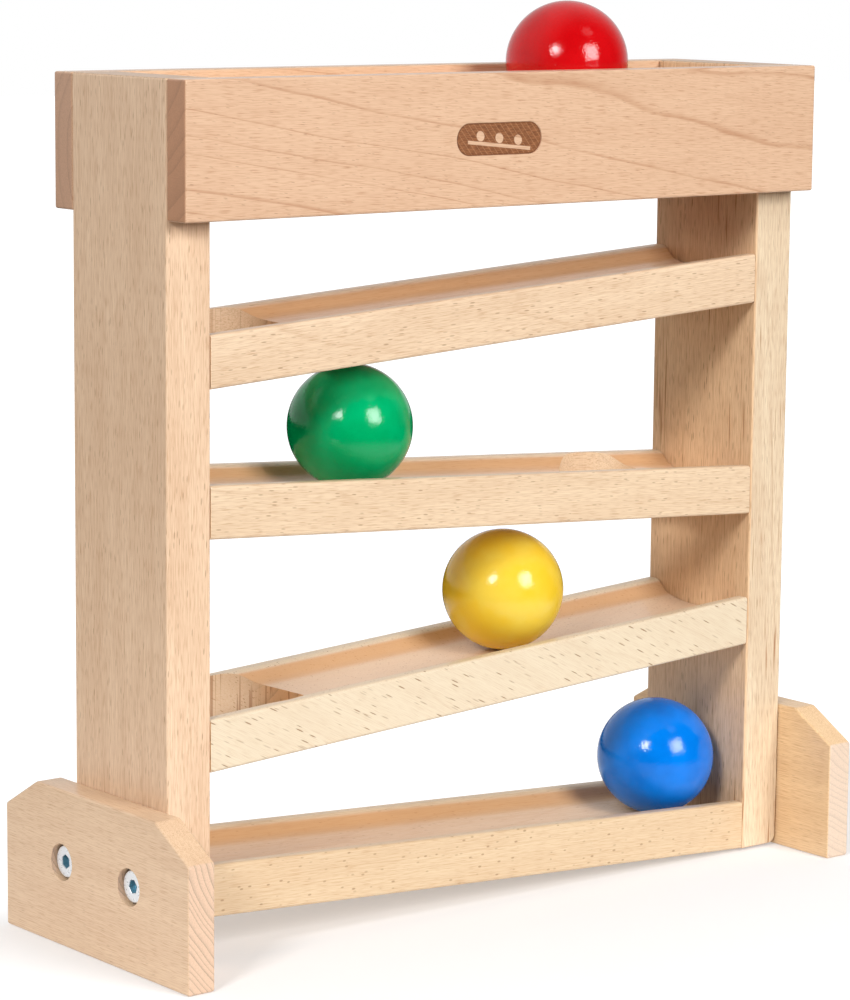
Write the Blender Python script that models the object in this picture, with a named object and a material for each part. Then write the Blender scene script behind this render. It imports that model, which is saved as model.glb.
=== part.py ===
"""Wooden marble run: two uprights on feet, a start tray, four more sloping tracks and four balls."""
from math import atan, cos, pi, sin, sqrt

import bmesh
import bpy
from mathutils import Matrix, Vector

# ---- stock and overall sizes, metres ----
OVERALL = 0.320            # over the outer faces of the uprights
UPRIGHT = 0.020            # board thickness of an upright
DEPTH = 0.062              # depth of the uprights and tracks, front to back
TOP = 0.336                # top of the uprights and rails
UNDER = 0.001              # the uprights stop just clear of the floor
JOINT = 0.0003             # glue-line gap between neighbouring pieces
INNER = OVERALL / 2 - UPRIGHT

# ---- rails ----
RAIL_T, RAIL_H = 0.012, 0.052

# ---- tracks: half-width from the middle, and how far the channel lies below the lip ----
SLOPE = 0.0593             # fall per metre of run, about 3.4 degrees
TRACK_T = 0.0205           # board thickness, measured straight down
CHANNEL = ((0.0, 0.0080), (0.0060, 0.0078), (0.0110, 0.0072), (0.0150, 0.0064), (0.0180, 0.0056),
           (0.0205, 0.0043), (0.0225, 0.0022), (0.0240, 0.0008), (0.0260, 0.0))
HOLE_R = 0.027             # drop hole, a little wider than a ball

# name, lip height at mid-span, +1 when the right end is the high one, drop-hole centre in x
TRACKS = (("start_track", 0.3236, -1, 0.096),
          ("first_track", 0.2491, +1, -0.100),
          ("second_track", 0.1759, -1, 0.095),
          ("third_track", 0.1029, +1, -0.100),
          ("finish_track", 0.0299, -1, None))

# ---- balls: name, track, centre in x and y, colour ----
BALL_R = 0.025
BALLS = (("red_ball", 0, 0.0603, 0.0, (0.75, 0.008, 0.012)),
         ("green_ball", 2, -0.0505, 0.0, (0.0, 0.36, 0.11)),
         ("yellow_ball", 3, 0.0297, 0.0, (0.83, 0.55, 0.03)),
         ("blue_ball", 4, INNER - BALL_R - JOINT, -0.0024, (0.0, 0.22, 0.87)))

# ---- feet and their screws ----
FOOT_T, FOOT_L, FOOT_H = 0.012, 0.125, 0.062
CHAMFER_Y, CHAMFER_Z = 0.022, 0.0127
BOLT_Y, BOLT_Z = 0.023, 0.0332
BORE_R, BORE_DEEP = 0.0072, 0.006
HEAD_R, HEAD_T, RECESS = 0.00625, 0.0035, 0.002
SHANK_R, SHANK_END = 0.003, 0.0150          # the shank stops this far inside the upright
INSERT_R, INSERT_L = 0.0045, 0.012
HEX_AF, HEX_DEEP = 0.0050, 0.0024

# ---- dowels ----
PEG_R, PEG_IN_UPRIGHT, PEG_IN_TRACK = 0.004, 0.010, 0.020
PEG_Y, PEG_UP = 0.016, 0.0072                # across, and above the underside of the track
PIN_R, PIN_IN_RAIL, PIN_IN_UPRIGHT = 0.003, 0.006, 0.009
PIN_Z = (0.013, 0.039)                       # above the lower edge of the rail


# ---- helpers ----
def material(name, colour, roughness, metallic=0.0):
    mat = bpy.data.materials.new(name)
    mat.use_nodes = True
    shader = mat.node_tree.nodes["Principled BSDF"]
    shader.inputs["Base Color"].default_value = (*colour, 1.0)
    shader.inputs["Roughness"].default_value = roughness
    shader.inputs["Metallic"].default_value = metallic
    return mat


def add(name, bm, mat, origin=(0.0, 0.0, 0.0)):
    """Put a mesh drawn in world coordinates into the scene, with its origin at the given point."""
    bmesh.ops.recalc_face_normals(bm, faces=bm.faces)
    mesh = bpy.data.meshes.new(name)
    bm.to_mesh(mesh)
    bm.free()
    mesh.transform(Matrix.Translation(-Vector(origin)))
    mesh.materials.append(mat)
    ob = bpy.data.objects.new(name, mesh)
    ob.location = origin
    bpy.context.scene.collection.objects.link(ob)
    return ob


def loft(bm, rings):
    """Close a stack of rings of points into one body with flat ends."""
    layers = [[bm.verts.new(p) for p in ring] for ring in rings]
    n = len(layers[0])
    for low, high in zip(layers, layers[1:]):
        for i in range(n):
            bm.faces.new((low[i], low[(i + 1) % n], high[(i + 1) % n], high[i]))
    bm.faces.new(layers[0])
    bm.faces.new(layers[-1])
    return bm


def box(x, y, z):
    bm = bmesh.new()
    corners = ((y[0], z[0]), (y[1], z[0]), (y[1], z[1]), (y[0], z[1]))
    return loft(bm, [[(xx, a, b) for a, b in corners] for xx in x])


def ring(axis, centre, along, radius, sides, turn=0.5):
    """Points round a circle whose axis is x or y, at a distance along that axis."""
    points = []
    for i in range(sides):
        a = 2 * pi * (i + turn) / sides
        u, v = radius * cos(a), radius * sin(a)
        if axis == "x":
            points.append((along, centre[1] + u, centre[2] + v))
        else:
            points.append((centre[0] + u, along, centre[2] + v))
    return points


def rod(axis, centre, start, end, radius, sides=12):
    return loft(bmesh.new(), [ring(axis, centre, s, radius, sides) for s in (start, end)])


def cut(ob, bm):
    """Take a body away from a piece."""
    tool = add("cutter", bm, ob.data.materials[0])
    mod = ob.modifiers.new("cut", "BOOLEAN")
    mod.operation, mod.solver, mod.object = "DIFFERENCE", "EXACT", tool
    bpy.context.view_layer.objects.active = ob
    bpy.ops.object.select_all(action="DESELECT")
    ob.select_set(True)
    bpy.ops.object.modifier_apply(modifier=mod.name)
    bpy.data.objects.remove(tool, do_unlink=True)


def lip(track, x):
    """Height of a track's lips at a place along it."""
    return TRACKS[track][1] + TRACKS[track][2] * SLOPE * x


# ---- the pieces ----
def tracks(wood):
    made = {}
    for i, (name, _, side, hole) in enumerate(TRACKS):
        section = [(-DEPTH / 2, 0.0)]
        section += [(-y, -d) for y, d in reversed(CHANNEL)] + [(y, -d) for y, d in CHANNEL[1:]]
        section += [(DEPTH / 2, 0.0), (DEPTH / 2, -TRACK_T), (-DEPTH / 2, -TRACK_T)]
        ends = [[(x, y, lip(i, x) + z) for y, z in section] for x in (-INNER + JOINT, INNER - JOINT)]
        ob = add(name, loft(bmesh.new(), ends), wood)
        if hole is not None:
            lean = side * SLOPE
            mid = lip(i, hole) - TRACK_T / 2
            rings = []
            for h in (-0.03, 0.03):
                rings.append([(hole - lean * h + HOLE_R * cos(2 * pi * k / 36),
                               HOLE_R * sin(2 * pi * k / 36), mid + h) for k in range(36)])
            cut(ob, loft(bmesh.new(), rings))
        made[name] = ob
    return made


def uprights(wood):
    made = {}
    for name, s in (("left_upright", -1), ("right_upright", 1)):
        x = sorted((s * INNER, s * OVERALL / 2))
        made[name] = add(name, box(x, (-DEPTH / 2, DEPTH / 2), (UNDER, TOP)), wood)
    return made


def rails(wood):
    made = {}
    for name, s in (("front_rail", -1), ("rear_rail", 1)):
        y = sorted((s * (DEPTH / 2 + JOINT), s * (DEPTH / 2 + JOINT + RAIL_T)))
        made[name] = add(name, box((-OVERALL / 2, OVERALL / 2), y, (TOP - RAIL_H, TOP)), wood)
    return made


def track_dowels(boards, posts, wood):
    for i, (name, *_) in enumerate(TRACKS):
        for side, post in ((-1, "left_upright"), (1, "right_upright")):
            z = lip(i, side * INNER) - TRACK_T + PEG_UP
            for where, y in (("front", -PEG_Y), ("rear", PEG_Y)):
                span = (side * (INNER + PEG_IN_UPRIGHT), side * (INNER - PEG_IN_TRACK))
                longer = (span[0] + side * JOINT, span[1] - side * JOINT)
                label = f"{name}_{post.split('_')[0]}_{where}_dowel"
                add(label, rod("x", (0, y, z), *span, PEG_R), wood)
                for ob in (boards[name], posts[post]):
                    cut(ob, rod("x", (0, y, z), *longer, PEG_R + JOINT))


def rail_dowels(fences, posts, wood):
    for rail, s in (("front_rail", -1), ("rear_rail", 1)):
        face = s * (DEPTH / 2)
        for side, post in ((-1, "left_upright"), (1, "right_upright")):
            for where, up in (("lower", PIN_Z[0]), ("upper", PIN_Z[1])):
                at = (side * (OVERALL / 2 - UPRIGHT / 2), 0, TOP - RAIL_H + up)
                span = (face + s * (JOINT + PIN_IN_RAIL), face - s * PIN_IN_UPRIGHT)
                longer = (span[0] + s * JOINT, span[1] - s * JOINT)
                label = f"{rail}_{post.split('_')[0]}_{where}_dowel"
                add(label, rod("y", at, *span, PIN_R), wood)
                for ob in (fences[rail], posts[post]):
                    cut(ob, rod("y", at, *longer, PIN_R + JOINT))


def feet(posts, wood, zinc, brass):
    for name, s in (("left", -1), ("right", 1)):
        half, low = FOOT_L / 2, FOOT_H - CHAMFER_Z
        outline = ((-half, 0), (half, 0), (half, low), (half - CHAMFER_Y, FOOT_H),
                   (CHAMFER_Y - half, FOOT_H), (-half, low))
        inside = s * (OVERALL / 2 + JOINT)
        outside = inside + s * FOOT_T
        rings = [[(x, y, z) for y, z in outline] for x in (inside, outside)]
        foot = add(f"{name}_foot", loft(bmesh.new(), rings), wood)
        for where, y in (("front", -BOLT_Y), ("rear", BOLT_Y)):
            at = (0, y, BOLT_Z)
            cut(foot, rod("x", at, outside + s * 0.01, outside - s * BORE_DEEP, BORE_R, 24))
            cut(foot, rod("x", at, outside, inside - s * 0.01, SHANK_R + JOINT, 12))
            bolt(f"{name}_{where}_foot_screw", at, s, outside, zinc)
            insert(f"{name}_{where}_threaded_insert", at, s, brass)
            start, end = s * (OVERALL / 2 + 0.01), s * (OVERALL / 2 - SHANK_END - JOINT)
            cut(posts[f"{name}_upright"], rod("x", at, start, end, SHANK_R + JOINT, 12))
            end = s * (OVERALL / 2 - INSERT_L - 2 * JOINT)
            cut(posts[f"{name}_upright"], rod("x", at, start, end, INSERT_R + JOINT, 16))


def bolt(name, at, s, outside, zinc):
    """Flat round head with a hex socket, on a plain shank."""
    face = outside - s * RECESS
    under = face - s * HEAD_T
    tip = s * (OVERALL / 2 - SHANK_END)
    rings = [ring("x", at, face, HEX_AF / sqrt(3), 24, 0.5), ring("x", at, face, HEAD_R - 0.0005, 24),
             ring("x", at, face - s * 0.0005, HEAD_R, 24), ring("x", at, under, HEAD_R, 24),
             ring("x", at, under, SHANK_R, 24), ring("x", at, tip, SHANK_R, 24)]
    ob = add(name, loft(bmesh.new(), rings[1:]), zinc)
    hexagon = [ring("x", at, x, HEX_AF / sqrt(3), 6, 0.0) for x in (face + s * 0.001, face - s * HEX_DEEP)]
    cut(ob, loft(bmesh.new(), hexagon))


def insert(name, at, s, brass):
    """Sleeve screwed into the upright, open at both ends."""
    near = s * (OVERALL / 2 - JOINT)
    far = near - s * INSERT_L
    ob = add(name, rod("x", at, near, far, INSERT_R, 16), brass)
    cut(ob, rod("x", at, near + s * 0.01, far - s * 0.01, SHANK_R + JOINT, 12))


def balls():
    for name, track, x, y, colour in BALLS:
        rise = (BALL_R + JOINT) / cos(atan(SLOPE))
        centre = (x, y, lip(track, x) - CHANNEL[0][1] + rise)
        bm = bmesh.new()
        bmesh.ops.create_uvsphere(bm, u_segments=24, v_segments=12, radius=BALL_R)
        bmesh.ops.translate(bm, vec=centre, verts=bm.verts)
        add(name, bm, material(name.replace("_ball", "_paint"), colour, 0.15), centre)


def build():
    for ob in list(bpy.data.objects):
        bpy.data.objects.remove(ob, do_unlink=True)
    beech = material("beech", (0.72, 0.50, 0.30), 0.45)
    zinc = material("zinc_plate", (0.72, 0.74, 0.76), 0.3, 1.0)
    brass = material("brass", (0.70, 0.52, 0.25), 0.35, 1.0)
    posts, boards, fences = uprights(beech), tracks(beech), rails(beech)
    track_dowels(boards, posts, beech)
    rail_dowels(fences, posts, beech)
    feet(posts, beech, zinc, brass)
    balls()


build()
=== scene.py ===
from math import atan, cos, exp, hypot, pi, radians, sin

import bmesh
import bpy
from mathutils import Euler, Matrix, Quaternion, Vector


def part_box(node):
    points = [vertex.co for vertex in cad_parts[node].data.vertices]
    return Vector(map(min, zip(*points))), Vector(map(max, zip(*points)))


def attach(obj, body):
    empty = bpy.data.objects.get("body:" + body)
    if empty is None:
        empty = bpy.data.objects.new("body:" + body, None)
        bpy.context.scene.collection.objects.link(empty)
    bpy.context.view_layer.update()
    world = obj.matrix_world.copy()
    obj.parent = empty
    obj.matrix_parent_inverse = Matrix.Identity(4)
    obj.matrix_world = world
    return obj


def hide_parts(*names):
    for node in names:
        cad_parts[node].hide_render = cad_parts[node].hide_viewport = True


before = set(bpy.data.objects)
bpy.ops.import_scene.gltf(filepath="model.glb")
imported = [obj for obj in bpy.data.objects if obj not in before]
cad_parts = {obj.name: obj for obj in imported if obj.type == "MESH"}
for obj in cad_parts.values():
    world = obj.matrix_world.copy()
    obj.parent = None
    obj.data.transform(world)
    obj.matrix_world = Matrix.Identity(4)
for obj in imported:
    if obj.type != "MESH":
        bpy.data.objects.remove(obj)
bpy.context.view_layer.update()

# ---- Uprights ----
# Two beech boards stand on edge and carry everything. They are planed square, their edges are
# eased with a small round, and the outer bottom corner is rounded more so it can't splinter.
UPRIGHT_EASE = 0.0008
UPRIGHT_TOE, TOE_SEGMENTS = 0.0040, 7
SHANK_BORE, SHANK_BORE_LONG = 0.0033, 0.0308
SLEEVE_BORE_LONG = 0.0254
DRILL_PLAY, OUT_OF_ROUND = 0.0002, 1.045
INNER_TINT_EDGE, INNER_TINT_SOFT, INNER_TINT_COLOUR = 8.6, 1.2, (238, 186, 132)
LACQUER_SHINE, LACQUER_COAT, LACQUER_ROUGH = 0.30, 0.45, 0.16


class Wire:
    """One output of a shader node. Sums on it add the Math nodes that work them out."""

    def __init__(self, recipe, socket):
        self.recipe, self.socket = recipe, socket

    def maths(self, operation, *values):
        return self.recipe.node("ShaderNodeMath", {"operation": operation}, dict(enumerate(values)))

    def __add__(self, other):
        return self.maths("ADD", self, other)

    def __sub__(self, other):
        return self.maths("SUBTRACT", self, other)

    def __rsub__(self, other):
        return self.maths("SUBTRACT", other, self)

    def __mul__(self, other):
        return self.maths("MULTIPLY", self, other)

    def __truediv__(self, other):
        return self.maths("DIVIDE", self, other)

    def __pow__(self, other):
        return self.maths("POWER", self, other)

    __radd__, __rmul__ = __add__, __mul__

    def fraction(self):
        return self.maths("FRACT", self)

    def root(self):
        return self.maths("SQRT", self)

    def size(self):
        return self.maths("ABSOLUTE", self)

    def most(self, other):
        return self.maths("MAXIMUM", self, other)

    def ramp(self, low, high, bottom=0.0, top=1.0):
        """Rises smoothly from bottom to top as this goes from low to high."""
        return self.recipe.node("ShaderNodeMapRange", {"interpolation_type": "SMOOTHSTEP"},
                                {0: self, 1: low, 2: high, 3: bottom, 4: top})


class Recipe:
    """The nodes of one material, or of the world, and the one way in which they are added."""

    def __init__(self, name, owner=None):
        self.owner = owner or bpy.data.materials.new(name)
        self.owner.use_nodes = True
        self.tree = self.owner.node_tree
        self.shader = self.tree.nodes["Background" if owner else "Principled BSDF"]

    def node(self, kind, settings=None, values=None, output=0):
        node = self.tree.nodes.new(kind)
        for key, value in (settings or {}).items():
            setattr(node, key, value)
        self.feed(node, values or {})
        return Wire(self, node.outputs[output])

    def feed(self, node, values):
        for key, value in values.items():
            if isinstance(value, Wire):
                self.tree.links.new(value.socket, node.inputs[key])
            else:
                node.inputs[key].default_value = value

    def blend(self, amount, under, over, way="MIX"):
        """One colour laid over another by an amount."""
        return self.node("ShaderNodeMix", {"data_type": "RGBA", "blend_type": way},
                         {0: amount, 6: under, 7: over}, output=2)

    def place(self):
        """Where on the piece this is, in metres."""
        return self.node("ShaderNodeTexCoord", output=3)

    def millimetres(self):
        return self.node("ShaderNodeVectorMath", {"operation": "SCALE"}, {0: self.place(), 3: 1000.0})

    def noise(self, where, detail=2.0, roughness=0.5):
        return self.node("ShaderNodeTexNoise", {}, {"Vector": where, "Scale": 1.0, "Detail": detail,
                                                    "Roughness": roughness})

    def stretch(self, where, size):
        """The same place counted in patches of the given size."""
        return self.node("ShaderNodeVectorMath", {"operation": "DIVIDE"}, {0: where, 1: size})

    def axes(self, where):
        """The x, y and z of a vector, as three numbers."""
        return (self.node("ShaderNodeSeparateXYZ", {}, {0: where}, output=axis) for axis in range(3))

    def bundle(self, *values):
        return self.node("ShaderNodeCombineXYZ", {}, dict(enumerate(values)))

    def surface(self, **values):
        self.feed(self.shader, {key.replace("_", " "): value for key, value in values.items()})
        return self.owner


def srgb(r, g, b):
    """A paint-chart colour as the linear light that the shader works in."""
    return (*((c / 12.92 if c <= 0.04045 else ((c + 0.055) / 1.055) ** 2.4)
              for c in (r / 255, g / 255, b / 255)), 1.0)


ALONG_X, ALONG_Y, ALONG_Z = (0, 0, 0), (0, 0, pi / 2), (0, -pi / 2, 0)


def beech(name, centre, grain, pith, lean=(0.0, 0.0), seed=0.0, base=(229, 197, 158), ring=(186, 134, 92),
          ring_gap=5.0, ring_depth=0.3, streak=0.3, pore=0.35, ray=0.5, ray_share=0.4,
          ray_size=(6.5, 0.75, 1.2), end=(206, 166, 128), end_line=0.8, wander=3.0, inner_tint=0.0, stain=0.0,
          finish=None):
    """Lacquered steamed beech: growth rings about a pith line, fine pores, rays and end grain.

    Lengths are in millimetres from the board's centre, with the first axis along the grain.
    """
    m = Recipe(name)
    turn = Euler(grain).to_matrix()
    start = Vector(centre) - turn @ Vector((seed * 0.001, 0, 0))
    here = m.place()
    spot = m.node("ShaderNodeMapping", {"vector_type": "TEXTURE"},
                  {"Vector": here, "Location": start, "Rotation": grain, "Scale": (0.001,) * 3})
    along, across, through = m.axes(spot)

    # Growth rings: each ends in a thin dark line of late wood.
    reach = along - seed
    sway = (m.noise(m.stretch(spot, (120, 34, 34)), 2.0) - 0.5) * (2 * wander)
    du, dv = across - pith[0] + reach * lean[0], through - pith[1] + reach * lean[1]
    radius = (du * du + dv * dv).root() + sway
    uneven = m.noise(m.bundle(radius / (ring_gap * 2.3), seed, 0.0), 1.0)
    turn_of = (radius / ring_gap + uneven * 2.2).fraction()
    line = turn_of.ramp(0.90, 0.97) * (1.0 - turn_of.ramp(0.975, 1.0))
    fading = m.noise(m.stretch(spot, (50, 7, 7)), 2.0).ramp(0.25, 0.7, 0.35, 1.0)
    late = (turn_of ** 9.0 * 0.22 + line * 0.78) * fading

    # Fibres: soft clouds of colour, long strands and short open vessels.
    cloud = m.noise(m.stretch(spot, (80, 9, 9)), 3.0).ramp(0.30, 0.72)
    strand = m.noise(m.stretch(spot, (26, 0.50, 0.50)), 2.0, 0.60).ramp(0.34, 0.68)
    vessel = m.noise(m.stretch(spot, (7.0, 0.25, 0.25)), 1.0).ramp(0.48, 0.72)

    # Rays: lens-shaped flecks, one in some of the cells of a grid that follows the rings.
    bend = dv.maths("ARCTAN2", dv, du) * hypot(*pith)
    cell = m.stretch(m.bundle(along, bend, radius), ray_size)
    near = m.node("ShaderNodeTexVoronoi", {}, {"Vector": cell, "Scale": 1.0, "Randomness": 1.0})
    lot = m.node("ShaderNodeTexVoronoi", {}, {"Vector": cell, "Scale": 1.0}, output=1)
    draw, depth = (m.node("ShaderNodeSeparateColor", {}, {0: lot}, output=i) for i in range(2))
    drawn = draw.ramp(1.0 - ray_share, 1.02 - ray_share) * depth.ramp(0, 1, 0.35, 1.0)
    rays = near.ramp(0.12, 0.24, 1.0, 0.0) * drawn

    dark = srgb(*(c * 0.80 for c in ring))
    colour = m.blend(cloud * (streak * 0.35), srgb(*base), srgb(*ring))
    # More orange towards one broad face of the board, the right upright's inner face.
    if inner_tint:
        inside = through.ramp(INNER_TINT_EDGE, INNER_TINT_EDGE + INNER_TINT_SOFT)
        colour = m.blend(inside * inner_tint, colour, srgb(*INNER_TINT_COLOUR))
    colour = m.blend(late * ring_depth, colour, srgb(*ring))
    colour = m.blend(strand * (streak * 0.5), colour, srgb(*ring))
    colour = m.blend(vessel * pore, colour, srgb(*ring))
    colour = m.blend(rays * ray, colour, dark)
    if stain:
        vein = m.noise(m.stretch(spot, (48, 1.3, 1.3)), 1.0).ramp(0.66, 0.78)
        colour = m.blend(vein * stain, colour, srgb(*ring))

    # End grain, wherever a face lies square to the fibres.
    face = m.node("ShaderNodeTexCoord", output=1)
    fibre = turn @ Vector((1, 0, 0))
    facing = m.node("ShaderNodeVectorMath", {"operation": "DOT_PRODUCT"}, {0: face, 1: fibre}, output=1)
    cut = facing.size().ramp(0.44, 0.90)
    speck = m.noise(m.stretch(spot, (2.0, 0.45, 0.45)), 2.0).ramp(0.35, 0.7)
    sawn = m.blend(speck * 0.22 + turn_of ** 5.0 * end_line + rays * 0.20, srgb(*end),
                   srgb(*(c * 0.74 for c in end)))
    colour = m.blend(cut, colour, sawn)
    rough = 0.42 + vessel * 0.06 + cut * 0.12
    height = 1.0 - vessel * 0.45 - rays * 0.6 - late * 0.25
    if finish:
        colour, height = finish(m, here, face, colour, height)
    bump = m.node("ShaderNodeBump", {}, {"Strength": 0.25, "Distance": 0.0001, "Height": height})
    return m.surface(Base_Color=colour, Roughness=rough, Normal=bump, Specular_IOR_Level=LACQUER_SHINE,
                     Coat_Weight=LACQUER_COAT, Coat_Roughness=LACQUER_ROUGH)


def take(piece):
    """Make a piece the only one selected."""
    bpy.ops.object.select_all(action="DESELECT")
    piece.select_set(True)
    bpy.context.view_layer.objects.active = piece


def settle(piece):
    """Move a piece's place, turn and size into its mesh."""
    take(piece)
    bpy.ops.object.transform_apply(location=True, rotation=True, scale=True)
    return piece


def plank(name, low, high):
    """A block sawn to length, width and thickness."""
    bpy.ops.object.select_all(action="DESELECT")
    bpy.ops.mesh.primitive_cube_add(size=1, location=[(a + b) / 2 for a, b in zip(low, high)])
    piece = bpy.context.object
    piece.name = piece.data.name = name
    piece.scale = [b - a for a, b in zip(low, high)]
    return settle(piece)


def edit_edges(piece, wanted):
    """Open a piece for editing with only the wanted edges selected."""
    take(piece)
    bpy.ops.object.mode_set(mode="EDIT")
    bpy.ops.mesh.select_mode(type="EDGE")
    bpy.ops.mesh.select_all(action="DESELECT")
    mesh = bmesh.from_edit_mesh(piece.data)
    for edge in mesh.edges:
        edge.select = wanted(edge)
    mesh.select_flush_mode()
    bmesh.update_edit_mesh(piece.data)


def close_edit():
    bpy.ops.object.mode_set(mode="OBJECT")


def ease(piece, width, segments=4, sharper=30):
    """Round every edge that turns by more than the given angle."""
    take(piece)
    mod = piece.modifiers.new("eased edges", "BEVEL")
    mod.width, mod.segments, mod.angle_limit = width, segments, radians(sharper)
    mod.limit_method, mod.use_clamp_overlap = "ANGLE", True
    bpy.ops.object.modifier_apply(modifier=mod.name)


def cut_out(piece, tool):
    """Take the tool's shape away from a piece."""
    take(piece)
    mod = piece.modifiers.new("cut", "BOOLEAN")
    mod.operation, mod.solver, mod.object = "DIFFERENCE", "EXACT", tool
    bpy.ops.object.modifier_apply(modifier=mod.name)
    bpy.data.objects.remove(tool, do_unlink=True)


def drill_bit(centre, radius, depth, axis, sides=24):
    """A round cutter that lies along x or y."""
    bpy.ops.object.select_all(action="DESELECT")
    turn = (0, pi / 2, 0) if axis == 0 else (pi / 2, 0, 0)
    bpy.ops.mesh.primitive_cylinder_add(vertices=sides, radius=radius, depth=depth, location=centre,
                                        rotation=turn)
    return settle(bpy.context.object)


def drill_for(piece, nodes):
    """Blind holes for the dowels, each a little larger than the dowel in it."""
    for node in nodes:
        low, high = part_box(node)
        size = [b - a for a, b in zip(low, high)]
        axis = size.index(max(size))
        middle = [(a + b) / 2 for a, b in zip(low, high)]
        across = (size[(axis + 1) % 3] + size[(axis + 2) % 3]) / 4
        radius = across * OUT_OF_ROUND + DRILL_PLAY
        cut_out(piece, drill_bit(middle, radius, size[axis] + 2 * DRILL_PLAY, axis))


def copy_of(master, name, place, turn=(0, 0, 0)):
    """A copy with its own mesh, turned and put in its place."""
    piece = master.copy()
    piece.data = master.data.copy()
    piece.name = piece.data.name = name
    bpy.context.scene.collection.objects.link(piece)
    piece.location, piece.rotation_euler = place, turn
    return settle(piece)


def finish_piece(piece, body, node, material, smooth=35):
    """Give a piece its finish and put it in the place of its solid."""
    take(piece)
    bpy.ops.object.shade_smooth_by_angle(angle=radians(smooth))
    mod = piece.modifiers.new("flat faces stay flat", "WEIGHTED_NORMAL")
    mod.keep_sharp = True
    bpy.ops.object.modifier_apply(modifier=mod.name)
    piece.data.materials.clear()
    piece.data.materials.append(material)
    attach(piece, body)
    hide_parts(node)
    return piece


dowels = sorted(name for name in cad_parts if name.endswith("_dowel"))
upright_looks = {
    "left": dict(pith=(64, 12), lean=(0.02, 0.03), seed=11.0, base=(241, 210, 178), ring=(176, 126, 84),
                 ring_gap=4.0, ring_depth=0.14, streak=0.50, pore=0.50, ray=0.50, ray_share=0.85,
                 ray_size=(8.0, 0.90, 1.00)),
    "right": dict(pith=(-70, 8), lean=(0.012, -0.01), seed=57.0, base=(240, 221, 190), ring=(160, 100, 52),
                  ring_gap=4.6, ring_depth=0.26, streak=0.48, pore=0.42, ray=0.60, ray_share=0.80,
                  ray_size=(10.0, 0.95, 1.10), wander=1.2, inner_tint=0.5, stain=0.85)}
for side, outward in (("left", -1), ("right", 1)):
    node = f"{side}_upright"
    low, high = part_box(node)
    piece = plank(f"{side}_upright_board", low, high)
    outer = high.x if outward > 0 else low.x
    edit_edges(piece, lambda e: all(abs(v.co.x - outer) < 1e-5 and abs(v.co.z - low.z) < 1e-5
                                    for v in e.verts))
    bpy.ops.mesh.bevel(offset=UPRIGHT_TOE, segments=TOE_SEGMENTS, profile=0.5)
    close_edit()
    ease(piece, UPRIGHT_EASE)
    drill_for(piece, [name for name in dowels if f"_{side}_" in name])
    for where in ("front", "rear"):
        sleeve_low, sleeve_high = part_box(f"{side}_{where}_threaded_insert")
        middle = (sleeve_low + sleeve_high) / 2
        sleeve_bore = (sleeve_high.z - sleeve_low.z) / 2 * 1.02 + DRILL_PLAY
        cut_out(piece, drill_bit((outer, middle.y, middle.z), sleeve_bore, SLEEVE_BORE_LONG, 0))
        cut_out(piece, drill_bit((outer, middle.y, middle.z), SHANK_BORE, SHANK_BORE_LONG, 0))
    look = beech(f"{side} upright beech", (low + high) / 2, ALONG_Z, **upright_looks[side])
    finish_piece(piece, "frame", node, look)

# ---- Rails ----
# The front and rear rails are thinner beech boards, flat sawn, glued and pegged across the edges
# of the uprights so that a ball on the start track can't fall off. A burnt patch is on the front.
RAIL_EASE = 0.0009
MARK_X, MARK_Z = -0.0114, 0.3105
MARK_LONG, MARK_TALL, MARK_DEEP = 0.0430, 0.0130, 0.0002
MARK_FRONT, MARK_BALLS = (-0.0425, -0.0422), (-9.5, 0.0, 9.5)
CHAR_DARK, CHAR_PALE, CHAR_LINE, CHAR_RIM = (116, 70, 42), (152, 98, 62), (206, 156, 112), (98, 58, 34)


def burnt_mark(m, here, face, colour, height):
    """A pill-shaped burnt patch with three balls on a ramp left pale in it."""
    x, y, z = m.axes(here)
    x, z = (x - MARK_X) * 1000, (z - MARK_Z) * 1000
    half, round_end = MARK_LONG * 500, MARK_TALL * 500
    past = (x.size() - (half - round_end)).most(0.0)
    edge = (past * past + z * z).root()
    front = y.ramp(*MARK_FRONT, 1.0, 0.0)
    patch = edge.ramp(round_end - 0.35, round_end - 0.02, 1.0, 0.0) * front
    rim = edge.ramp(round_end - 0.95, round_end - 0.45) * patch
    fall = z + x * 0.10
    ramp_bar = (fall + 2.6).size().ramp(0.55, 0.80, 1.0, 0.0) * x.size().ramp(15.6, 15.9, 1.0, 0.0)
    motif = ramp_bar
    for place in MARK_BALLS:
        dx, dz = x - place, fall - 0.25
        motif = motif.most((dx * dx + dz * dz).root().ramp(1.85, 2.10, 1.0, 0.0))
    char = m.noise(m.stretch(m.millimetres(), (2.6, 1.0, 0.5)), 3.0).ramp(0.3, 0.7)
    scan = ((x * 0.9 + z * 0.75) * 0.42).fraction().ramp(0.80, 0.97) * 0.35
    burnt = m.blend(char, srgb(*CHAR_DARK), srgb(*CHAR_PALE))
    burnt = m.blend(scan, burnt, srgb(*CHAR_LINE))
    burnt = m.blend(rim * 0.55, burnt, srgb(*CHAR_RIM))
    mask = patch * (1.0 - motif * patch)
    return m.blend(mask, colour, burnt), height - mask * 0.8


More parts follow.
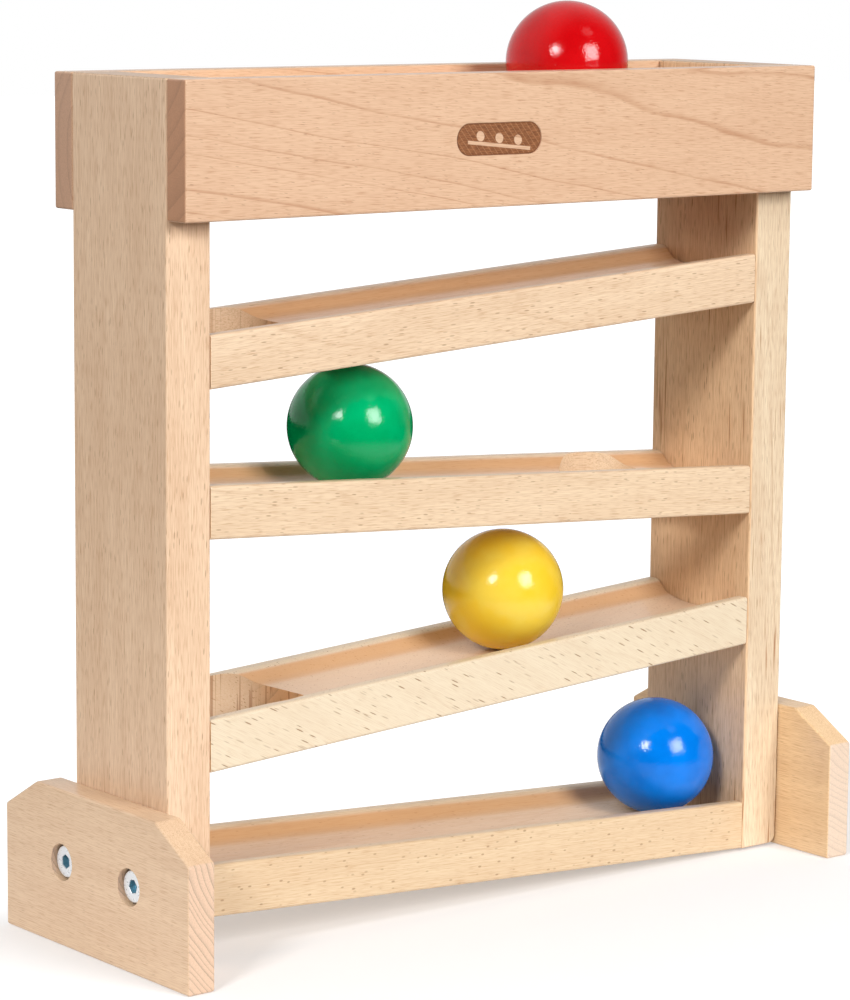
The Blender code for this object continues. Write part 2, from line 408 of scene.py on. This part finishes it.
rail_looks = {
    "front": dict(grain=(0, radians(2), 0), pith=(52, 30), lean=(0.015, 0.13), seed=5.0, base=(225, 188, 156),
                  ring=(170, 112, 74), ring_gap=6.6, ring_depth=0.52, streak=0.28, pore=0.46, ray=0.38,
                  ray_share=0.80, ray_size=(5.0, 0.70, 0.80), end=(192, 143, 110), end_line=0.35, wander=2.6,
                  finish=burnt_mark),
    "rear": dict(grain=ALONG_X, pith=(-48, -20), lean=(-0.01, 0.09), seed=83.0, base=(223, 186, 152),
                 ring=(176, 118, 78), ring_gap=6.0, ring_depth=0.5, streak=0.26, pore=0.40, ray=0.34,
                 ray_share=0.8, ray_size=(5.0, 0.70, 0.80), end=(201, 160, 132), end_line=0.3, wander=2.6)}
for side in ("front", "rear"):
    node = f"{side}_rail"
    low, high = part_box(node)
    piece = plank(f"{side}_rail_board", low, high)
    ease(piece, RAIL_EASE)
    drill_for(piece, [name for name in dowels if name.startswith(node)])
    if side == "front":
        patch_low = (MARK_X - MARK_LONG / 2, low.y - 0.002, MARK_Z - MARK_TALL / 2)
        patch_high = (MARK_X + MARK_LONG / 2, low.y + MARK_DEEP, MARK_Z + MARK_TALL / 2)
        burner = plank("burner", patch_low, patch_high)
        edit_edges(burner, lambda e: abs(e.verts[0].co.y - e.verts[1].co.y) > 0.001)
        bpy.ops.mesh.bevel(offset=MARK_TALL * 0.4999, segments=16, profile=0.5)
        close_edit()
        cut_out(piece, burner)
    look = beech(f"{side} rail beech", (low + high) / 2, **rail_looks[side])
    finish_piece(piece, "frame", node, look)

# ---- Tracks ----
# Five beech boards slope from side to side between the uprights. A wide shallow channel with
# rounded shoulders is milled along each one, and all but the last have a drop hole by the low end.
TRACK_CORNER = 0.0013
TRACK_STEPS = 71
TRACK_BUTT = 0.0002
TRACK_END_EASE = 0.0004
CHANNEL_REACH = 0.0262
HOLE_ACROSS, HOLE_SIDES = 0.054, 112
HOLE_EASE, HOLE_WELD = 0.00045, 0.0002
HOLE_CUTTER = 0.05
HOLES = {"start": 0.096, "first": -0.100, "second": 0.095, "third": -0.100}
# Painted shade: the floor, cove and bore tints darken the channel and the drop-hole wall; the scorch tint
# draws dark streaks on the bore wall.
CHANNEL_SHADE_TINT, COVE_SHADE_TINT = (222, 174, 144), (202, 148, 90)
BORE_SHADE_TINT, SCORCH_TINT = (196, 146, 98), (150, 100, 60)
CHANNEL = ((0.0, 0.0080), (0.0060, 0.0078), (0.0110, 0.0072), (0.0150, 0.0064), (0.0180, 0.0056),
           (0.0205, 0.0043), (0.0225, 0.0022), (0.0240, 0.0008), (0.0260, 0.0), (0.0400, 0.0))
CHANNEL_SOFTEN = 0.0003
TRACK_THICK = 0.0205


def channel_depth(y):
    """How far the channel lies below the lips, as a soft curve past the points of its profile."""
    total = weight = 0.0
    for step in range(-6, 7):
        at, share = abs(y + step * CHANNEL_SOFTEN), exp(-(step / 3.2) ** 2)
        for (y0, d0), (y1, d1) in zip(CHANNEL, CHANNEL[1:]):
            if y0 <= at <= y1:
                total += share * (d0 + (d1 - d0) * (at - y0) / (y1 - y0))
                weight += share
                break
    return total / weight


def channel_shade_and_streaks(bore_shade_and_scorch):
    """Painted shade in a track's channel: a darker, pinker floor, darker orange coves and a darker bore wall,
    with dark scorch streaks on the bore wall, the last two in the given amount.
    """
    def marks(m, here, face, colour, height):
        x, y, _ = m.axes(here)
        _, _, up = m.axes(face)
        side, top = y.size() * 1000, up.ramp(0.10, 0.40)
        floor = side.ramp(23.6, 24.6, 1.0, 0.0) * top
        cove_shade = side.ramp(15.0, 19.0) * side.ramp(23.0, 24.4, 1.0, 0.0) * top
        bore = side.ramp(27.4, 28.0, 1.0, 0.0) * up.size().ramp(0.3, 0.5, 1.0, 0.0)
        streak = m.noise(m.bundle(x * 800, y * 800, 0.0), 1.0).ramp(0.56, 0.66)
        # Painted shade over the channel floor, the coves and the bore wall, then dark scorch streaks on the
        # bore wall.
        colour = m.blend(floor * 0.36, colour, srgb(*CHANNEL_SHADE_TINT))
        colour = m.blend(cove_shade * 0.60, colour, srgb(*COVE_SHADE_TINT))
        colour = m.blend(bore * (0.35 * bore_shade_and_scorch), colour, srgb(*BORE_SHADE_TINT))
        return m.blend(bore * streak * (0.60 * bore_shade_and_scorch), colour, srgb(*SCORCH_TINT)), height
    return marks


track_looks = {
    "start": dict(pith=(60, 10), lean=(0.02, 0.03), seed=21.0, bore_shade_and_scorch=0.3),
    "first": dict(pith=(66, 14), lean=(0.03, 0.04), seed=33.0, base=(237, 211, 180), ring=(172, 120, 72),
                  ring_gap=4.4, ring_depth=0.20, streak=0.38, pore=0.46, ray=0.56, ray_share=0.85,
                  ray_size=(7.0, 0.95, 1.2), bore_shade_and_scorch=0.45),
    "second": dict(pith=(70, -12), lean=(-0.02, 0.03), seed=45.0, base=(236, 211, 179), ring=(174, 124, 80),
                   ring_gap=5.0, ring_depth=0.16, streak=0.36, pore=0.46, ray=0.56, ray_share=0.70,
                   ray_size=(6.5, 0.95, 1.2), bore_shade_and_scorch=0.1),
    "third": dict(pith=(80, 6), lean=(0.02, -0.02), seed=71.0, base=(229, 213, 186), ring=(184, 140, 98),
                  ring_gap=5.2, ring_depth=0.14, streak=0.22, pore=0.24, ray=0.92, ray_share=0.90,
                  ray_size=(11.5, 0.95, 1.3), end=(222, 178, 132), tilt=31, bore_shade_and_scorch=1.0),
    "finish": dict(pith=(8, 84), lean=(0.01, -0.02), seed=97.0, base=(225, 200, 165), ring=(176, 122, 70),
                   ring_gap=3.6, ring_depth=0.24, streak=0.34, pore=0.38, ray=0.60, ray_share=0.60,
                   ray_size=(4.6, 1.5, 2.0), bore_shade_and_scorch=0.0)}
for order in ("start", "first", "second", "third", "finish"):
    node = f"{order}_track"
    low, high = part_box(node)
    run, rise = high.x - low.x, high.z - low.z - TRACK_THICK
    uphill = 1 if order in ("first", "third") else -1
    slope = uphill * rise / run
    left_top = high.z - (rise if uphill > 0 else 0)
    bpy.ops.object.select_all(action="DESELECT")
    bpy.ops.mesh.primitive_plane_add(size=1, location=(low.x - TRACK_BUTT, 0, left_top - TRACK_THICK / 2),
                                     rotation=(0, pi / 2, 0))
    piece = bpy.context.object
    piece.name = piece.data.name = f"{order}_track_board"
    piece.scale = (TRACK_THICK, high.y - low.y, 1)
    settle(piece)
    edit_edges(piece, lambda e: True)
    bpy.ops.mesh.bevel(offset=TRACK_CORNER, segments=4, affect="VERTICES")
    bpy.ops.mesh.select_all(action="DESELECT")
    section = bmesh.from_edit_mesh(piece.data)
    for edge in section.edges:
        edge.select = edge.calc_length() > 0.04 and edge.verts[0].co.z > left_top - 0.001
    section.select_flush_mode()
    bpy.ops.mesh.subdivide(number_cuts=TRACK_STEPS)
    bpy.ops.mesh.select_mode(type="VERT")
    section = bmesh.from_edit_mesh(piece.data)
    crest = [v.index for v in section.verts if v.co.z > left_top - 0.00001 and abs(v.co.y) < CHANNEL_REACH]
    for index in crest:
        bpy.ops.mesh.select_all(action="DESELECT")
        section = bmesh.from_edit_mesh(piece.data)
        section.verts.ensure_lookup_table()
        section.verts[index].select = True
        bpy.ops.transform.translate(value=(0, 0, -channel_depth(section.verts[index].co.y)))
    bpy.ops.mesh.select_all(action="SELECT")
    length = (run + 2 * TRACK_BUTT, 0, uphill * rise)
    bpy.ops.mesh.extrude_region_move(TRANSFORM_OT_translate={"value": length})
    bpy.ops.mesh.select_all(action="SELECT")
    bpy.ops.mesh.normals_make_consistent(inside=False)
    close_edit()
    edit_edges(piece, lambda e: len({round(v.co.x, 5) for v in e.verts}) == 1)
    bpy.ops.mesh.bevel(offset=TRACK_END_EASE, segments=2, profile=0.5)
    close_edit()
    if order in HOLES:
        hole = HOLES[order]
        middle = left_top + slope * (hole - low.x) - TRACK_THICK / 2
        bpy.ops.object.select_all(action="DESELECT")
        bpy.ops.mesh.primitive_cylinder_add(vertices=HOLE_SIDES, radius=HOLE_ACROSS / 2,
                                            depth=HOLE_CUTTER,
                                            location=(hole, 0, middle), rotation=(0, -atan(slope), 0))
        cut_out(piece, settle(bpy.context.object))

        def on_rim(edge):
            if len(edge.link_faces) != 2 or edge.calc_face_angle(0) < radians(35):
                return False
            reach = (hypot((v.co.x - hole + slope * (v.co.z - middle)) / hypot(1, slope), v.co.y)
                     for v in edge.verts)
            return all(abs(r - HOLE_ACROSS / 2) < HOLE_WELD for r in reach)

        take(piece)
        bpy.ops.object.mode_set(mode="EDIT")
        bpy.ops.mesh.select_all(action="SELECT")
        bpy.ops.mesh.remove_doubles(threshold=HOLE_WELD)
        close_edit()
        edit_edges(piece, on_rim)
        bpy.ops.mesh.bevel(offset=HOLE_EASE, segments=2, profile=0.5, clamp_overlap=True)
        close_edit()
    drill_for(piece, [name for name in dowels if name.startswith(node)])
    look = track_looks[order]
    grain = (0, radians(look.pop("tilt", 0)) - atan(slope), 0)
    look = beech(f"{order} track beech", (low + high) / 2, grain, finish=channel_shade_and_streaks(look.pop("bore_shade_and_scorch")), **look)
    finish_piece(piece, "frame", node, look)

# ---- Feet ----
# A short chamfered beech board is screwed to the outer face of each upright, with its grain front
# to back. It stands the run upright, and two counterbores sink the screw heads.
FOOT_EASE = 0.0010
FOOT_CHAMFER_Y, FOOT_CHAMFER_Z = 0.022, 0.0127
BORE_ACROSS, BORE_DEEP, BORE_SIDES = 0.0144, 0.006, 64
FOOT_BORE_LONG = 0.04
MOUTH_EASE = 0.0004

foot_looks = {
    "left": dict(pith=(-68, 36), lean=(0.01, 0.05), seed=15.0, base=(233, 202, 168), ring=(178, 126, 86),
                 ring_gap=2.3, ring_depth=0.14, streak=0.36, pore=0.44, ray=0.34, ray_share=0.4,
                 ray_size=(6.0, 0.7, 0.8), end=(224, 190, 162)),
    "right": dict(pith=(-34, 50), lean=(0.02, 0.03), seed=39.0, base=(243, 209, 164), ring=(182, 128, 78),
                  ring_gap=2.6, ring_depth=0.14, streak=0.36, pore=0.44, ray=0.34, ray_share=0.4,
                  ray_size=(6.0, 0.7, 0.8), end=(228, 203, 180), end_line=0.35)}
for side, outward in (("left", -1), ("right", 1)):
    node = f"{side}_foot"
    low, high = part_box(node)
    piece = plank(f"{side}_foot_board", low, high)
    for end in (-1, 1):
        take(piece)
        bpy.ops.object.mode_set(mode="EDIT")
        bpy.ops.mesh.select_all(action="SELECT")
        bpy.ops.mesh.bisect(plane_co=(0, end * high.y, high.z - FOOT_CHAMFER_Z),
                            plane_no=(0, end * FOOT_CHAMFER_Z, FOOT_CHAMFER_Y), use_fill=True,
                            clear_outer=True)
        bpy.ops.mesh.select_all(action="SELECT")
        bpy.ops.mesh.normals_make_consistent(inside=False)
        close_edit()
    ease(piece, FOOT_EASE, sharper=20)
    outer = high.x if outward > 0 else low.x
    for where in ("front", "rear"):
        screw_low, screw_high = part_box(f"{side}_{where}_foot_screw")
        middle = (screw_low + screw_high) / 2
        cut_out(piece, drill_bit((outer, middle.y, middle.z), BORE_ACROSS / 2, 2 * BORE_DEEP, 0, BORE_SIDES))
        cut_out(piece, drill_bit((outer, middle.y, middle.z), SHANK_BORE, FOOT_BORE_LONG, 0))

        def on_mouth(edge, middle=middle):
            return all(abs(v.co.x - outer) < 1e-5 and
                       abs(hypot(v.co.y - middle.y, v.co.z - middle.z) - BORE_ACROSS / 2) < 1e-4
                       for v in edge.verts)

        edit_edges(piece, on_mouth)
        bpy.ops.mesh.bevel(offset=MOUTH_EASE, segments=2, profile=0.5)
        close_edit()
    look = beech(f"{side} foot beech", (low + high) / 2, ALONG_Y, **foot_looks[side])
    finish_piece(piece, "frame", node, look)

# ---- Foot screws ----
# Four zinc-plated furniture screws, each with a flat round head, a hex socket and a plain shank.
# They go through the feet into threaded sleeves in the uprights.
HEAD_ACROSS, HEAD_THICK, HEAD_EASE = 0.0125, 0.0035, 0.0005
SHANK_RADIUS = 0.003
SOCKET_CORNERS, SOCKET_DEEP, SOCKET_EASE = 0.00577, 0.0026, 0.00015
SOCKET_SHADE = (169.6, 170.05)
SOCKET_TURNS = (("front", 12), ("rear", 34))

zinc = Recipe("bright zinc plate")
zinc_mm = zinc.millimetres()
zinc_mottle = zinc.noise(zinc.stretch(zinc_mm, (1.2, 1.2, 1.2)), 3.0)
zinc_fine = zinc.noise(zinc.stretch(zinc_mm, (0.3, 0.3, 0.3)), 2.0)
zinc_x, _, _ = zinc.axes(zinc_mm)
zinc_plate = zinc.blend(zinc_mottle, srgb(232, 236, 240), srgb(246, 248, 250))
# Painted shade: below the head's face, inside the hex socket, the plate turns dark teal.
zinc_look = zinc.surface(
    Base_Color=zinc.blend(zinc_x.size().ramp(*SOCKET_SHADE), srgb(112, 158, 176), zinc_plate),
    Metallic=0.45, Roughness=zinc_mottle.ramp(0.3, 0.7, 0.26, 0.38),
    Normal=zinc.node("ShaderNodeBump", {}, {"Strength": 0.15, "Distance": 0.00005, "Height": zinc_fine}))
low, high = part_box("right_front_foot_screw")
bpy.ops.object.select_all(action="DESELECT")
bpy.ops.mesh.primitive_cylinder_add(vertices=64, radius=HEAD_ACROSS / 2, depth=HEAD_THICK,
                                    location=(-HEAD_THICK / 2, 0, 0), rotation=(0, pi / 2, 0))
screw = settle(bpy.context.object)
bpy.ops.object.mode_set(mode="EDIT")
bpy.ops.mesh.select_mode(type="FACE")
bpy.ops.mesh.select_all(action="DESELECT")
mesh = bmesh.from_edit_mesh(screw.data)
for poly in mesh.faces:
    poly.select = all(abs(v.co.x + HEAD_THICK) < 1e-5 for v in poly.verts)
bmesh.update_edit_mesh(screw.data)
bpy.ops.mesh.inset(thickness=HEAD_ACROSS / 2 - SHANK_RADIUS)
bpy.ops.mesh.extrude_region_move(TRANSFORM_OT_translate={"value": (HEAD_THICK + low.x - high.x, 0, 0)})
close_edit()
ease(screw, HEAD_EASE, 3)
bpy.ops.object.select_all(action="DESELECT")
bpy.ops.mesh.primitive_cylinder_add(vertices=6, radius=SOCKET_CORNERS / 2, depth=2 * SOCKET_DEEP,
                                    rotation=(0, pi / 2, 0))
cut_out(screw, settle(bpy.context.object))
edit_edges(screw, lambda e: all(abs(v.co.x) < 1e-5 and hypot(v.co.y, v.co.z) < HEAD_ACROSS / 3
                                for v in e.verts))
bpy.ops.mesh.bevel(offset=SOCKET_EASE, segments=1)
close_edit()
for side, outward in (("left", -1), ("right", 1)):
    for where, turned in SOCKET_TURNS:
        node = f"{side}_{where}_foot_screw"
        low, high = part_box(node)
        middle = (low + high) / 2
        face = high.x if outward > 0 else low.x
        piece = copy_of(screw, f"{node}_piece", (face, middle.y, middle.z),
                        (radians(turned), 0, 0 if outward > 0 else pi))
        finish_piece(piece, "frame", node, zinc_look)
bpy.data.objects.remove(screw, do_unlink=True)

# ---- Hidden fittings ----
# Beech dowels hold the boards together, and turned brass sleeves in the uprights take the foot
# screws. Nothing of them shows once the run is built, so their solids stay as they are.
dowel_look = beech("dowel beech", (0, 0, 0.2), ALONG_X, (60, 20), seed=3.0)
brass = Recipe("turned brass")
brass_line = brass.noise(brass.stretch(brass.millimetres(), (0.15, 4.0, 4.0)), 1.0)
brass_look = brass.surface(Base_Color=brass.blend(brass_line, srgb(196, 160, 92), srgb(222, 190, 124)),
                           Metallic=1.0, Roughness=brass_line.ramp(0.3, 0.7, 0.28, 0.42))
for name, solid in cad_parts.items():
    if name.endswith("_dowel"):
        solid.material_slots[0].material = dowel_look
    if name.endswith("_insert"):
        solid.material_slots[0].material = brass_look

# ---- Balls ----
# Four turned wooden balls, sprayed in gloss paint that dried with a fine orange peel. A tiny flat
# is left at each pole, where the lathe and the drying pin held it.
BALL_FLAT, BALL_POLE = 0.00012, 0.9985
PAINTS = {"red": ((200, 12, 18), (190, 6, 12)), "green": ((0, 170, 104), (0, 158, 92)),
          "yellow": ((234, 203, 72), (236, 196, 46)), "blue": ((0, 126, 232), (0, 112, 212))}


def gloss_paint(name, light, deep, seed):
    """Gloss paint, a little uneven in depth, with the fine peel that a spray gun leaves."""
    m = Recipe(name)
    spot = m.node("ShaderNodeMapping", {},
                  {"Vector": m.place(), "Scale": (1000,) * 3, "Location": (seed, 0, 0)})
    tint = m.noise(m.stretch(spot, (14, 14, 14)), 2.0)
    peel = m.noise(m.stretch(spot, (0.8, 0.8, 0.8)), 1.0)
    dimple = m.noise(m.stretch(spot, (2.4, 2.4, 2.4)), 1.0)
    bump = m.node("ShaderNodeBump", {}, {"Strength": 0.8, "Distance": 0.00009, "Height": peel + dimple * 0.4})
    return m.surface(Base_Color=m.blend(tint.ramp(0.3, 0.7), srgb(*light), srgb(*deep)),
                     Roughness=tint.ramp(0.3, 0.7, 0.09, 0.12),
                     Specular_IOR_Level=0.36, Normal=bump)


low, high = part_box("red_ball")
radius = (high.z - low.z) / 2
bpy.ops.object.select_all(action="DESELECT")
bpy.ops.mesh.primitive_uv_sphere_add(segments=96, ring_count=48, radius=radius)
ball = bpy.context.object
for end in (-1, 1):
    take(ball)
    bpy.ops.object.mode_set(mode="EDIT")
    bpy.ops.mesh.select_all(action="DESELECT")
    mesh = bmesh.from_edit_mesh(ball.data)
    for v in mesh.verts:
        v.select = end * v.co.z > radius * BALL_POLE
    mesh.select_flush(True)
    bmesh.update_edit_mesh(ball.data)
    bpy.ops.transform.translate(value=(0, 0, -end * BALL_FLAT))
    close_edit()
for number, (colour, (light, deep)) in enumerate(PAINTS.items()):
    node = f"{colour}_ball"
    low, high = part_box(node)
    piece = copy_of(ball, f"{colour}_painted_ball", (low + high) / 2)
    finish_piece(piece, node, node,
                 gloss_paint(f"{colour} gloss paint", light, deep, 40.0 * number), 60)
bpy.data.objects.remove(ball, do_unlink=True)

# ---- Studio ----
# A white floor that glows and runs into white, two soft boxes in front, a high one to the right and
# even light from all round, stronger from the rear. The camera looks down a little, through a
# long lens, from the front left corner.
FLOOR_GLOW, FLOOR_CLEAR, FLOOR_BEHIND = 0.29, (0.26, 0.55), (0.05, 0.11)
FLOOR_SEEN, FLOOR_BOUNCE, FLOOR_TABLE = 1.18, 0.79, (0.28, 0.60)
FLOOR_WIDE, FLOOR_GAP = 12, 0.0002
FRONT_GLOW, REAR_GLOW = 0.02, 0.76

bpy.ops.object.select_all(action="DESELECT")
bpy.ops.mesh.primitive_plane_add(size=FLOOR_WIDE, location=(0, 0, -FLOOR_GAP))
floor = bpy.context.object
floor.name = "studio_floor"
# The floor glows. Near the run it is mostly plain white, so shadows show there, paler; its glow also reaches
# the run as bounced light from below, fading out by 0.6 m. Behind the run and further off it is all glow, so
# no shadow shows there.
sweep = Recipe("studio white")
on_floor = sweep.place()
away = sweep.node("ShaderNodeVectorMath", {"operation": "LENGTH"}, {0: on_floor}, output=1)
_, behind, _ = sweep.axes(on_floor)
clear = away.ramp(*FLOOR_CLEAR).most(behind.ramp(*FLOOR_BEHIND))
looked_at = sweep.node("ShaderNodeLightPath")
bounce = away.ramp(*FLOOR_TABLE, FLOOR_BOUNCE, 0.0)
sweep.surface(Base_Color=(0.92, 0.91, 0.91, 1.0), Roughness=0.9, Specular_IOR_Level=0.0)
glow = sweep.node("ShaderNodeEmission", {}, {"Strength": looked_at * (FLOOR_SEEN - bounce) + bounce})
shown = sweep.node("ShaderNodeMixShader", {}, {0: clear * (1.0 - FLOOR_GLOW) + FLOOR_GLOW,
                                               1: Wire(sweep, sweep.shader.outputs[0]), 2: glow})
sweep.feed(sweep.tree.nodes["Material Output"], {"Surface": shown})
floor.data.materials.append(sweep.owner)

world = bpy.data.worlds.new("studio")
bpy.context.scene.world = world
sky = Recipe("studio", world)
_, towards_rear, _ = sky.axes(sky.node("ShaderNodeTexCoord"))
seen = sky.node("ShaderNodeLightPath")
room = towards_rear.ramp(-0.5, 0.5, FRONT_GLOW, REAR_GLOW)
sky.surface(Color=(1, 1, 1, 1), Strength=room * (1.0 - seen) + seen)

AIM = Vector((0.0, 0.0, 0.17))
LENS, FILM = 128.577, 36
STANDPOINT = (-0.90596, -1.10692, 0.38969)
HEADING, TILT, ROLL = radians(-38.926), radians(-9.05), radians(0.54)


def soft_box(name, azimuth, elevation, away, width, tall, power):
    """A square light on a stand, aimed at the middle of the run."""
    a, e = radians(azimuth), radians(elevation)
    data = bpy.data.lights.new(name, "AREA")
    data.shape, data.size, data.size_y, data.energy = "RECTANGLE", width, tall, power
    lamp = bpy.data.objects.new(name, data)
    bpy.context.scene.collection.objects.link(lamp)
    lamp.location = AIM + away * Vector((sin(a) * cos(e), -cos(a) * cos(e), sin(e)))
    lamp.rotation_euler = (AIM - lamp.location).to_track_quat("-Z", "Y").to_euler()


soft_box("key_soft_box", azimuth=9.5, elevation=23, away=1.9, width=0.75, tall=0.80, power=32)
soft_box("left_soft_box", azimuth=-63, elevation=29, away=2.0, width=0.45, tall=0.50, power=22)
soft_box("high_soft_box", azimuth=24, elevation=56, away=2.0, width=0.45, tall=0.45, power=0.9)

camera_data = bpy.data.cameras.new("camera")
camera_data.sensor_width, camera_data.lens = FILM, LENS
camera = bpy.data.objects.new("camera", camera_data)
bpy.context.scene.collection.objects.link(camera)
camera.location = STANDPOINT
forward = Vector((-sin(HEADING) * cos(TILT), cos(HEADING) * cos(TILT), sin(TILT)))
camera.rotation_mode = "QUATERNION"
camera.rotation_quaternion = forward.to_track_quat("-Z", "Y") @ Quaternion((0, 0, 1), ROLL)
bpy.context.scene.camera = camera
bpy.context.scene.view_settings.view_transform = "Standard"
